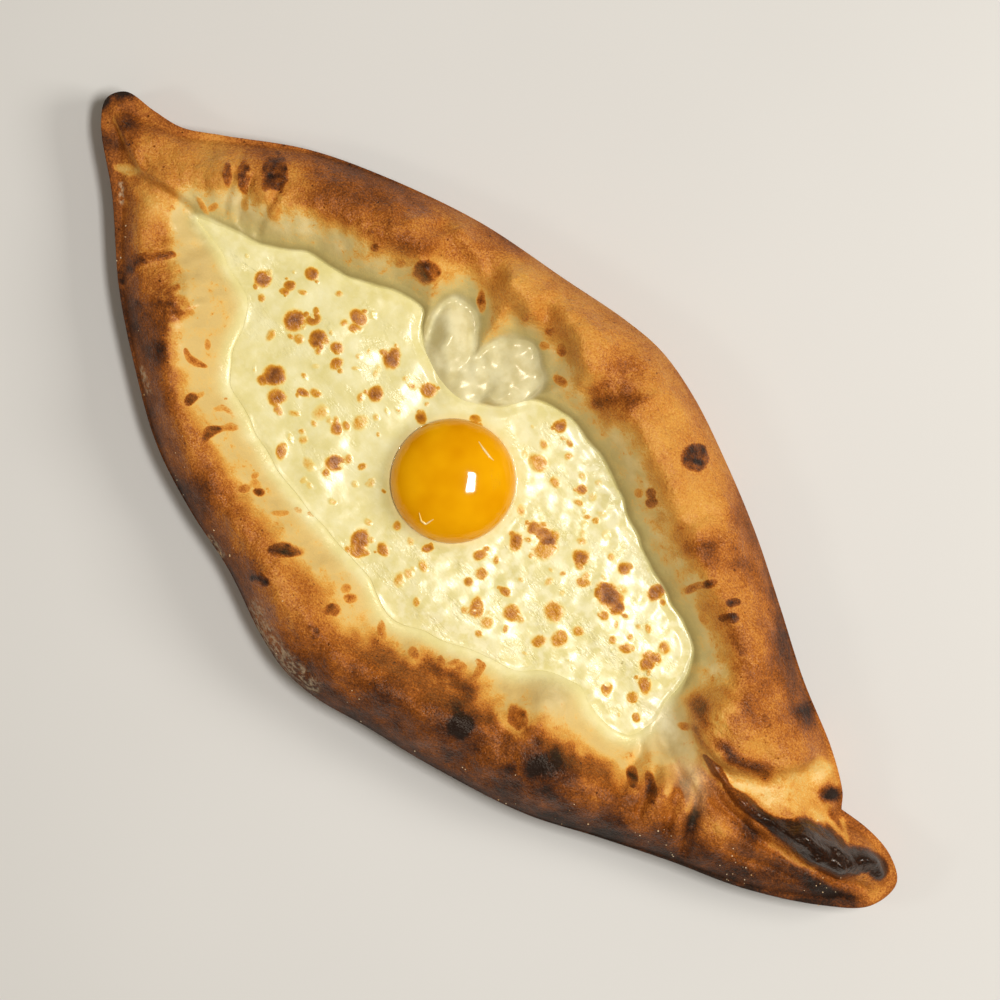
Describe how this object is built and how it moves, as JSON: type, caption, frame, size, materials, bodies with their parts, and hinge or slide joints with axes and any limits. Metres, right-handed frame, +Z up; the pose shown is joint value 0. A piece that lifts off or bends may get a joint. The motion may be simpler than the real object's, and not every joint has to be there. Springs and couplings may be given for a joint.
{
  "type": "adjarian khachapuri",
  "caption": "Boat-shaped cheese bread with a thick golden-brown rolled rim, pinched tips, a shallow pool of melted cheese and a raw egg yolk.",
  "frame": {"origin": "on the table under the middle of the bread: half way along and across its box, at the flat underside", "axes": "+X runs along the boat from the plainly pinched tip to the twisted tip, +Y runs across it towards the rim with the swollen wet fold, +Z is up out of the cheese"},
  "size_m": [0.3229, 0.1425, 0.0361],
  "materials": {
    "crust": "golden-brown baked dough with a light butter sheen, pale beside the cheese, dark in blistered spots",
    "cheese": "melted cheese, creamy yellow and moist, with browned spots",
    "yolk": "raw egg yolk, wet and glossy"
  },
  "bodies": {
    "root": {"bread": "crust", "cheese": "cheese", "yolk": "yolk"}
  },
  "joints": []
}
